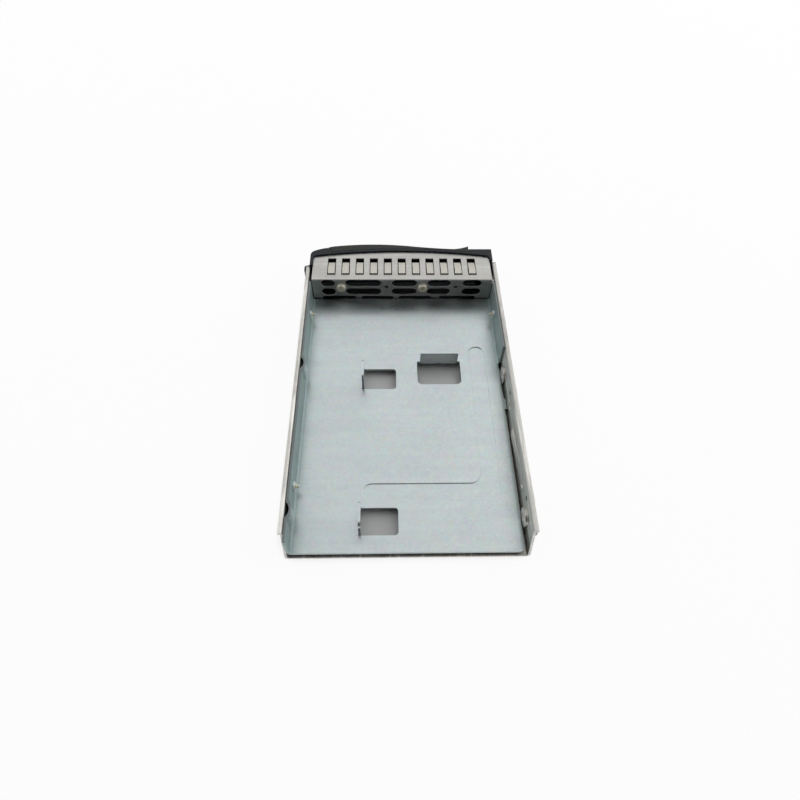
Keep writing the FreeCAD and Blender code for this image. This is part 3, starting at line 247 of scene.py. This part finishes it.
def plated_steel(name, base, rough, grain, rounding, spangle=0.06, scuffs=0.0, wall=None):
    """Zinc-plated sheet: rolling grain, soft mottle and spangle, handling marks, and edges made brighter as
    wear and as painted highlight.

    grain scales each axis, least along the rolling. wall is the height and the distance from the centre
    line at which upright walls end: walls and their bends are duller and darkened by painted shade, and their
    bare sheared tops darker.
    """
    n = Nodes(name)
    n.shader.inputs["Metallic"].default_value = 1.0
    rolled, mottle = n.noise(260.0, 6.0, 0.62, n.stretched(grain)), n.noise(760.0, 3.0, 0.7)
    cells, clouds, fine = n.spangle(420.0), n.noise(26.0, 5.0, 0.6), n.noise(2400.0, 3.0, 0.6)
    marks = n.noise(90.0, 8.0, 0.72, n.stretched(tuple(0.3 + 0.7 * g for g in grain)))
    soft, wear_and_sheen = n.soften(rounding)
    tone = n.blend(n.span(clouds, "Fac", 0.0, 1.0), shade(base, 0.94), shade(base, 1.05))
    tone = n.blend(n.span(mottle, "Fac", 0.0, 0.55, 0.35, 0.65), tone, shade(base, 1.18))
    tone = n.blend(spangle, tone, (cells, "Color"), "OVERLAY")
    tone = n.blend(n.span(rolled, "Fac", 0.0, 0.35), tone, shade(base, 0.84))
    if scuffs:
        dull = n.noise(150.0, 7.0, 0.7, n.stretched(tuple(0.2 + 0.8 * g for g in grain)))
        bright = n.noise(420.0, 4.0, 0.6, n.stretched(grain))
        tone = n.blend(n.span(dull, "Fac", 0.0, scuffs * 0.7, 0.5, 0.62), tone, shade(base, 0.60))
        tone = n.blend(n.span(bright, "Fac", 0.0, scuffs, 0.55, 0.65), tone, shade(base, 1.6))
    # Edges and pressed ridges, rubbed bright as wear and given a painted highlight.
    tone = n.blend(wear_and_sheen, tone, shade(base, 1.7))
    dullness = n.span(marks, "Fac", rough - 0.06, rough + 0.10), "Result"
    if wall:
        top, side = wall
        place, across = n.add("ShaderNodeSeparateXYZ"), n.add("ShaderNodeMath", operation="ABSOLUTE")
        n.join(n.where, "Object", place, "Vector")
        n.join(place, "X", across, 0)
        bend_from, bend_to, shorn_from, shorn_to = side - 0.0029, side - 0.0015, top - 0.0003, top - 0.0002
        # Walls and their inner bends are darkened as painted shade, and made duller.
        upright = n.span(across, "Value", 0.0, 1.0, bend_from, bend_to)
        shaded = n.blend(1.0, tone, (0.70, 0.77, 0.75), "MULTIPLY")
        tone = n.blend(upright, tone, shaded)
        tone = n.blend(n.span(place, "Z", 0.0, 1.0, shorn_from, shorn_to), tone, shade(base, 0.42))
        duller = n.add("ShaderNodeMath", operation="MULTIPLY_ADD")
        duller.inputs[1].default_value = 0.30
        n.join(upright, "Result", duller, 0)
        n.join(*dullness, duller, 2)
        dullness = duller, "Value"
    n.join(*tone, n.shader, "Base Color")
    n.join(*dullness, n.shader, "Roughness")
    n.relief(soft, [(rolled, "Fac", 0.10, 0.00005), (fine, "Fac", 0.12, 0.00002),
                    (cells, "Distance", 0.04, 0.00003)])
    return n.mat


def moulded(name, base, rough, grain=3600.0, rounding=0.00035):
    """Textured moulded plastic: fine spark-eroded grain, edges made brighter as rubbing wear and as painted
    highlight, faint flow clouds.
    """
    n = Nodes(name)
    n.shader.inputs["IOR"].default_value = 1.49
    n.shader.inputs["Specular IOR Level"].default_value = 0.25
    clouds, texture, rub = n.noise(60.0, 4.0), n.noise(grain, 3.0, 0.65), n.noise(420.0, 6.0, 0.7)
    soft, wear_and_sheen = n.soften(rounding)
    tone = n.blend(n.span(clouds, "Fac", 0.0, 1.0), shade(base, 0.85), shade(base, 1.15))
    tone = n.blend(n.span(texture, "Fac", 0.0, 0.3), tone, shade(base, 1.6))
    tone = n.blend(n.span(rub, "Fac", 0.0, 0.35, 0.55, 0.8), tone, shade(base, 1.4))
    # Edges made brighter as rubbing wear and as painted highlight.
    tone = n.blend(wear_and_sheen, tone, shade(base, 1.9))
    n.join(*tone, n.shader, "Base Color")
    n.join(n.span(rub, "Fac", rough - 0.08, rough + 0.10), "Result", n.shader, "Roughness")
    n.relief(soft, [(texture, "Fac", 0.35, 0.00004), (rub, "Fac", 0.08, 0.00006)])
    return n.mat


def turned_steel(name, base, rough, metal=1.0):
    """Small turned or headed parts: plating clouds and fine tool marks.

    A lower metal gives a whiter, duller plate.
    """
    n = Nodes(name)
    n.shader.inputs["Metallic"].default_value = metal
    clouds, fine = n.noise(700.0, 5.0, 0.6), n.noise(5200.0, 4.0, 0.6)
    tone = n.blend(n.span(clouds, "Fac", 0.0, 1.0), shade(base, 0.78), shade(base, 1.12))
    n.join(*tone, n.shader, "Base Color")
    n.join(n.span(fine, "Fac", rough - 0.08, rough + 0.12), "Result", n.shader, "Roughness")
    n.relief(n.soften(0.00015)[0], [(fine, "Fac", 0.15, 0.00002)])
    return n.mat


def clear_rod(name, tint):
    """Light pipe: clear acrylic with faint waves."""
    n = Nodes(name)
    s = n.shader.inputs
    s["Transmission Weight"].default_value = 0.9
    s["IOR"].default_value = 1.49
    waves, dust = n.noise(500.0, 3.0), n.noise(1800.0, 5.0)
    n.join(*n.blend(n.span(waves, "Fac", 0.0, 1.0), tint, shade(tint, 0.9)), n.shader, "Base Color")
    n.join(n.span(dust, "Fac", 0.06, 0.22), "Result", n.shader, "Roughness")
    n.relief(n.soften(0.00005)[0], [(waves, "Fac", 0.1, 0.00002)])
    return n.mat


# ----------------------------------------------------------------- mesh work
def put(name, data):
    """A new object, linked into the scene."""
    obj = bpy.data.objects.new(name, data)
    bpy.context.scene.collection.objects.link(obj)
    return obj


def arc(centre, radius, start, end, steps=8):
    """Points on an arc, with its angles in degrees."""
    turns = (math.radians(start + (end - start) * i / steps) for i in range(steps + 1))
    return [(centre[0] + radius * math.cos(t), centre[1] + radius * math.sin(t)) for t in turns]


def circle(centre, radius, points):
    """Points all round a circle."""
    return arc(centre, radius, 0, 360 - 360 / points, points - 1)


def prisms(name, outlines, low, high, along):
    """One object of solids, each pushed from low to high along x, y or z from its flat outline."""
    place = {"x": lambda u, v, w: (w, u, v),
             "y": lambda u, v, w: (u, w, v),
             "z": lambda u, v, w: (u, v, w)}[along]
    bm = bmesh.new()
    for outline in outlines:
        ends = [[bm.verts.new(place(u, v, w)) for u, v in outline] for w in (low, high)]
        for end in ends:
            bm.faces.new(end)
        for i in range(len(outline)):
            bm.faces.new((ends[0][i - 1], ends[0][i], ends[1][i], ends[1][i - 1]))
    bmesh.ops.recalc_face_normals(bm, faces=bm.faces)
    mesh = bpy.data.meshes.new(name)
    bm.to_mesh(mesh)
    bm.free()
    return put(name, mesh)


def carve(solid, tool, operation="DIFFERENCE"):
    """Cuts the tool out of the solid, or keeps what both share."""
    step = solid.modifiers.new("carve", "BOOLEAN")
    step.operation, step.solver, step.object = operation, "EXACT", tool
    cut = solid.evaluated_get(bpy.context.evaluated_depsgraph_get())
    made = bpy.data.meshes.new_from_object(cut)
    solid.modifiers.clear()
    solid.data = made
    bpy.data.objects.remove(tool)


def round_slot(left, right, level, half):
    """Outline of a slot with round ends, from left to right."""
    return arc((right - half, level), half, -90, 90) + arc((left + half, level), half, 90, 270)


def fold_shield():
    """Front shield: bent sheet with a bowed front edge, eleven finger windows and three rows of air slots."""
    (_, front, foot), (side, rear, top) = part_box("front_shield")
    thin, fold, corner, bow_r = 0.0008, 0.00015, 0.0022, 0.300
    # How far sheet to be trimmed and cutting shapes reach past what they cut.
    past = 0.002
    bend = thin + fold
    bend_middle = rear - bend, top - bend
    section = ([(rear, foot)] + arc(bend_middle, bend, 0, 90)
               + [(front - past, top), (front - past, top - thin)]
               + arc(bend_middle, fold, 90, 0) + [(rear - thin, foot)])
    shield = prisms("shield_sheet", [section], -side - past, side + past, "x")

    edge = side - corner
    corner_y = front + bow_r - math.sqrt(bow_r ** 2 - edge ** 2) + corner
    half_turn = math.degrees(math.asin(edge / bow_r))
    plan = ([(side, rear + past), (-side, rear + past)] + arc((-edge, corner_y), corner, 180, 270, 6)
            + arc((0, front + bow_r), bow_r, 270 - half_turn, 270 + half_turn, 40)[1:-1]
            + arc((edge, corner_y), corner, 270, 360, 6))
    carve(shield, prisms("plan", [plan], foot - past, top + past, "z"), "INTERSECT")

    pitch, half_w, win_rear, win_front = 0.0078, 0.0023, -0.1513, -0.1646
    windows = [[(pitch * k - half_w, win_rear), (pitch * k - half_w, win_front),
                (pitch * k + half_w, win_front), (pitch * k + half_w, win_rear)] for k in range(-5, 6)]
    carve(shield, prisms("windows", windows, top - past, top + past, "z"))

    full = ((0.0368, 0.0446), (0.0115, 0.0313), (-0.0083, 0.0058), (-0.0270, -0.0139), (-0.0440, -0.0333))
    low = ((0.0253, 0.0449), (0.0044, 0.0230), (-0.0172, 0.0021), (-0.0419, -0.0206))
    rows = ((full, 0.01545, 0.00225), (full, 0.0092, 0.0025), (low, 0.00395, 0.00195))
    slots = [round_slot(left, right, level, half) for spans, level, half in rows for left, right in spans]
    hole_level, screw_r, spare_r = 0.0124, 0.0014, 0.0013
    holes = [circle((x, hole_level), r, 24)
             for x, r in ((0.0337, screw_r), (-0.01135, screw_r), (0.0086, spare_r), (-0.0299, spare_r))]
    cut_depth = 0.0010
    carve(shield, prisms("slots", slots + holes, rear - cut_depth, rear + past, "y"))
    return shield


# ------------------------------------------------------------------- finishes
def dress(material, *names):
    """Gives the frame's own pieces their finish."""
    for name in names:
        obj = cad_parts[name]
        obj.data.materials.clear()
        obj.data.materials.append(material)


def coil_latch_spring():
    """The latch spring again, held at its seat in the bezel."""
    coil = put("latch_coil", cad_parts["latch_spring"].data.copy())
    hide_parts("latch_spring")
    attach(coil, "tray")
    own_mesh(coil)


def point_screws(material):
    """The adapter screws again, each with the short thin point that stands free inside its nut.

    The shoulder is measured from the centre line, and the screws' axes from the connector plane.
    """
    screws = put("pointed_screws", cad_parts["adapter_screws"].data.copy())
    shoulder, slope, thinner, shorter = 0.0486, 0.0003, 0.56, 0.65
    level, front, rear = 0.00935, -0.1301, -0.0285
    point = shoulder - slope
    bm = bmesh.new()
    bm.from_mesh(screws.data)
    for across in (-shoulder, -point, point, shoulder):
        every = bm.verts[:] + bm.edges[:] + bm.faces[:]
        bmesh.ops.bisect_plane(bm, geom=every, plane_co=(across, 0, 0), plane_no=(1, 0, 0))
    for vert in bm.verts:
        x, y, z = vert.co
        if abs(x) < point + slope / 10:
            run = front if y < (front + rear) / 2 else rear
            reach = point - (point - abs(x)) * shorter
            vert.co = math.copysign(reach, x), run + (y - run) * thinner, level + (z - level) * thinner
    bm.to_mesh(screws.data)
    bm.free()
    if "custom_normal" in screws.data.attributes:
        screws.data.attributes.remove(screws.data.attributes["custom_normal"])
    screws.data.shade_smooth()
    screws.data.set_sharp_from_angle(angle=math.radians(30))
    screws.data.materials.clear()
    screws.data.materials.append(material)
    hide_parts("adapter_screws")
    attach(screws, "tray")


# ---------------------------------------------------------------------- stage
def beside_part(n, low, high):
    """Low on the floor under the part, high a little way beside it."""
    lowest, highest = (Vector(corner) for corner in cad_box)
    inset, fade = 0.010, 0.013
    reach = (highest - lowest) / 2 - Vector((inset, inset, 0))
    steps = (("SUBTRACT", (lowest + highest) / 2), ("ABSOLUTE", None), ("SUBTRACT", reach),
             ("MULTIPLY", (1, 1, 0)), ("MAXIMUM", (0, 0, 0)), ("LENGTH", None))
    last, out = n.where, "Object"
    for operation, value in steps:
        step = n.add("ShaderNodeVectorMath", operation=operation)
        n.join(last, out, step, 0)
        if value is not None:
            step.inputs[1].default_value = value
        last, out = step, "Vector"
    glow = n.span(last, "Value", low, high, 0.0, fade)
    glow.interpolation_type = "SMOOTHSTEP"
    return glow


def lay_floor(studio):
    """Matt floor that keeps the part's shadow, deepened by painted shadow under the part, and is seen as
    nearly plain white beside it.
    """
    half, under = 12.0, -studio.floor_drop
    mesh = bpy.data.meshes.new("studio_floor")
    corners = (-half, -half, under), (half, -half, under), (half, half, under), (-half, half, under)
    mesh.from_pydata(corners, [], [(0, 1, 2, 3)])
    floor = put("studio_floor", mesh)
    n = Nodes("studio floor")
    n.shader.inputs["Roughness"].default_value = 0.9
    cloth = n.noise(9.0, 3.0)
    tone = n.blend(n.span(cloth, "Fac", 0.0, 1.0), shade(studio.floor_colour, 0.99), studio.floor_colour[:])
    # Painted shadow: the floor under the part is darker than beside it.
    tone = n.blend(beside_part(n, 0.0, 1.0), shade(studio.floor_colour, 0.60), tone)
    n.join(*tone, n.shader, "Base Color")
    glow = n.add("ShaderNodeEmission")
    glow.inputs["Color"].default_value = (1, 1, 1, 1)
    path = n.add("ShaderNodeLightPath")
    seen = path, "Is Camera Ray"
    for ray in ("Is Glossy Ray", "Is Transmission Ray"):
        either = n.add("ShaderNodeMath", operation="MAXIMUM")
        n.join(*seen, either, 0)
        n.join(path, ray, either, 1)
        seen = either, "Value"
    white = n.add("ShaderNodeMath", operation="MULTIPLY")
    n.join(*seen, white, 0)
    n.join(beside_part(n, studio.floor_shade, studio.floor_glow), "Result", white, 1)
    n.mix_shaders((white, "Value"), (n.shader, "BSDF"), (glow, "Emission"))
    mesh.materials.append(n.mat)


def hang_sky(studio):
    """Even white light all round."""
    world = bpy.data.worlds.new("studio sky")
    bpy.context.scene.world = world
    world.use_nodes = True
    light = world.node_tree.nodes["Background"]
    light.inputs["Color"].default_value = (1, 1, 1, 1)
    light.inputs["Strength"].default_value = studio.sky


def hang_card(name, towards, distance, radius, tone):
    """Soft-edged dark card, unseen itself, that the part reflects as the unlit side of a studio."""
    mesh = bpy.data.meshes.new(name)
    rim = circle((0, 0), radius, 36)
    mesh.from_pydata([(x, y, 0) for x, y in rim], [], [tuple(range(len(rim)))])
    card = put(name, mesh)
    card.location = Vector(towards).normalized() * distance + MIDDLE
    card.rotation_euler = Vector(towards).to_track_quat("Z", "Y").to_euler()
    card.visible_camera = card.visible_shadow = False
    n = Nodes(name)
    n.shader.inputs["Base Color"].default_value = (*tone, 1)
    n.shader.inputs["Roughness"].default_value = 0.9
    reach, clear = n.add("ShaderNodeVectorMath", operation="LENGTH"), n.add("ShaderNodeBsdfTransparent")
    n.join(n.where, "Object", reach, "Vector")
    soft_from = radius * 0.40
    cover = n.span(reach, "Value", 1.0, 0.0, soft_from, radius)
    cover.interpolation_type = "SMOOTHSTEP"
    n.mix_shaders((cover, "Result"), (clear, "BSDF"), (n.shader, "BSDF"))
    mesh.materials.append(n.mat)


def hang_lamp(name, place, size, power):
    """Round lamp that faces the middle of the part."""
    data = bpy.data.lights.new(name, "AREA")
    data.shape, data.size, data.energy = "DISK", size, power
    lamp = put(name, data)
    lamp.location = place
    lamp.rotation_euler = (MIDDLE - Vector(place)).to_track_quat("-Z", "Y").to_euler()


def place_camera(studio):
    """Camera that looks towards the bezel, turned, tilted down and rolled about its line of sight."""
    yaw, dip, roll = studio.turn, studio.dip, studio.roll
    ahead = Vector((-math.sin(yaw) * math.cos(dip), -math.cos(yaw) * math.cos(dip), -math.sin(dip)))
    right = Vector((-math.cos(yaw), math.sin(yaw), 0.0))
    up = right.cross(ahead)
    right, up = (right * math.cos(roll) + up * math.sin(roll), up * math.cos(roll) - right * math.sin(roll))
    data = bpy.data.cameras.new("camera")
    data.lens, data.sensor_width, data.clip_start = studio.lens, 36.0, 0.005
    camera = put("camera", data)
    facing = Matrix((right, up, -ahead)).transposed().to_4x4()
    camera.matrix_world = Matrix.Translation(studio.place) @ facing
    bpy.context.scene.camera = camera


# ------------------------------------------------------------------ operators
class SetStudio(bpy.types.Operator):
    """Lay the floor, hang the light and place the camera"""

    bl_idname = "caddy.set_studio"
    bl_label = "Studio"
    bl_options = {"REGISTER", "UNDO"}

    def execute(self, context):
        studio = context.scene.caddy_studio
        lay_floor(studio)
        hang_sky(studio)
        hang_card("dark card", (0.10, 0.74, 0.68), 0.9, 1.2, (0.02, 0.022, 0.023))
        hang_lamp("key", (-0.75, -0.75, 0.80), 0.8, studio.key)
        hang_lamp("glint", (-0.95, -0.20, 0.42), 0.14, studio.glint)
        place_camera(studio)
        return {"FINISHED"}


class FinishTray(bpy.types.Operator):
    """Plate the outer tray and its rails"""

    bl_idname = "caddy.finish_tray"
    bl_label = "Outer tray"
    bl_options = {"REGISTER", "UNDO"}

    def execute(self, context):
        look = context.scene.caddy_finishes
        dress(plated_steel("tray zinc", look.tray_zinc, look.tray_rough, (1.0, 0.05, 1.0), look.edge_round,
                           spangle=0.03, scuffs=0.75), "outer_tray")
        return {"FINISHED"}


class FinishPlate(bpy.types.Operator):
    """Plate the adapter that carries the drive"""

    bl_idname = "caddy.finish_plate"
    bl_label = "Adapter plate"
    bl_options = {"REGISTER", "UNDO"}

    def execute(self, context):
        look = context.scene.caddy_finishes
        side, _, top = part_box("adapter_plate")[1]
        dress(plated_steel("plate zinc", look.plate_zinc, look.plate_rough, (0.06, 1.0, 1.0), look.edge_round,
                           wall=(top, side)), "adapter_plate", "latch_cover")
        return {"FINISHED"}


class FinishShield(bpy.types.Operator):
    """Fold and plate the front shield"""

    bl_idname = "caddy.finish_shield"
    bl_label = "Front shield"
    bl_options = {"REGISTER", "UNDO"}

    def execute(self, context):
        look = context.scene.caddy_finishes
        shield = fold_shield()
        shield.data.materials.append(plated_steel("shield zinc", look.shield_zinc, 0.40, (0.05, 1.0, 1.0),
                                                  look.edge_round, spangle=0.03, scuffs=0.2))
        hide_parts("front_shield")
        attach(shield, "tray")
        return {"FINISHED"}


class FinishSprings(bpy.types.Operator):
    """Make the spring steel bright: contact strip, latch spring, hinge washer and clip"""

    bl_idname = "caddy.finish_springs"
    bl_label = "Spring steel"
    bl_options = {"REGISTER", "UNDO"}

    def execute(self, context):
        look = context.scene.caddy_finishes
        dress(plated_steel("contact metal", look.contact_metal, 0.30, (1.0, 0.1, 1.0), 0.00008, spangle=0.0),
              "contact_strip", "lever_washer", "pivot_clip", "latch_spring")
        coil_latch_spring()
        return {"FINISHED"}


class FinishBezel(bpy.types.Operator):
    """Colour the front frame and its clips"""

    bl_idname = "caddy.finish_bezel"
    bl_label = "Bezel"
    bl_options = {"REGISTER", "UNDO"}

    def execute(self, context):
        look = context.scene.caddy_finishes
        dress(moulded("bezel black", look.bezel_black, 0.46), "bezel_frame", "pipe_clips")
        return {"FINISHED"}


class FinishLever(bpy.types.Operator):
    """Colour the lever"""

    bl_idname = "caddy.finish_lever"
    bl_label = "Lever"
    bl_options = {"REGISTER", "UNDO"}

    def execute(self, context):
        look = context.scene.caddy_finishes
        dress(moulded("lever black", look.lever_black, 0.42), "handle_lever")
        return {"FINISHED"}


class FinishLatch(bpy.types.Operator):
    """Colour the release latch"""

    bl_idname = "caddy.finish_latch"
    bl_label = "Release latch"
    bl_options = {"REGISTER", "UNDO"}

    def execute(self, context):
        look = context.scene.caddy_finishes
        dress(moulded("latch red", look.latch_red, 0.38, grain=5200.0, rounding=0.0001), "release_latch")
        return {"FINISHED"}


class FinishFasteners(bpy.types.Operator):
    """Plate the screws, nuts and hinge pin, and point the adapter screws"""

    bl_idname = "caddy.finish_fasteners"
    bl_label = "Fasteners"
    bl_options = {"REGISTER", "UNDO"}

    def execute(self, context):
        look = context.scene.caddy_finishes
        screw_zinc = turned_steel("screw zinc", look.screw_zinc, 0.26, 0.6)
        dress(screw_zinc, "adapter_screws", "bezel_screws", "latch_cover_screw")
        point_screws(screw_zinc)
        # The shield screw heads get a paler, less metallic copy of the screw zinc as painted glint.
        dress(turned_steel("head zinc painted glint", shade(look.screw_zinc, 1.15), 0.34, 0.35), "shield_screws")
        dress(turned_steel("nut zinc", look.nut_zinc, 0.30, 0.7), "clinch_nuts")
        dress(turned_steel("pin steel", shade(look.screw_zinc, 0.85), 0.24), "lever_pivot_pin")
        return {"FINISHED"}


class FinishPipes(bpy.types.Operator):
    """Make the light pipes clear"""

    bl_idname = "caddy.finish_pipes"
    bl_label = "Light pipes"
    bl_options = {"REGISTER", "UNDO"}

    def execute(self, context):
        dress(clear_rod("clear rod", context.scene.caddy_finishes.clear_tint), "light_pipe_status",
              "light_pipe_activity")
        return {"FINISHED"}


STEPS = (SetStudio, FinishTray, FinishPlate, FinishShield, FinishSprings, FinishBezel, FinishLever,
         FinishLatch, FinishFasteners, FinishPipes)


class CaddyPanel(bpy.types.Panel):
    """Steps and finishes of the drive caddy"""

    bl_idname = "VIEW3D_PT_drive_caddy"
    bl_label = "Drive Caddy"
    bl_space_type = "VIEW_3D"
    bl_region_type = "UI"
    bl_category = "Drive Caddy"

    def draw(self, context):
        for step in STEPS:
            self.layout.operator(step.bl_idname)
        for group in (context.scene.caddy_finishes, context.scene.caddy_studio):
            box = self.layout.box()
            for key in group.__annotations__:
                box.prop(group, key)


CLASSES = (CaddyFinishes, CaddyStudio) + STEPS + (CaddyPanel,)


def register():
    for cls in CLASSES:
        bpy.utils.register_class(cls)
    bpy.types.Scene.caddy_finishes = bpy.props.PointerProperty(type=CaddyFinishes)
    bpy.types.Scene.caddy_studio = bpy.props.PointerProperty(type=CaddyStudio)


def unregister():
    del bpy.types.Scene.caddy_finishes, bpy.types.Scene.caddy_studio
    for cls in reversed(CLASSES):
        bpy.utils.unregister_class(cls)


def main():
    register()
    bpy.context.scene.view_settings.view_transform = "Standard"
    for step in STEPS:
        group, name = step.bl_idname.split(".")
        getattr(getattr(bpy.ops, group), name)()


if __name__ == "__main__":
    main()
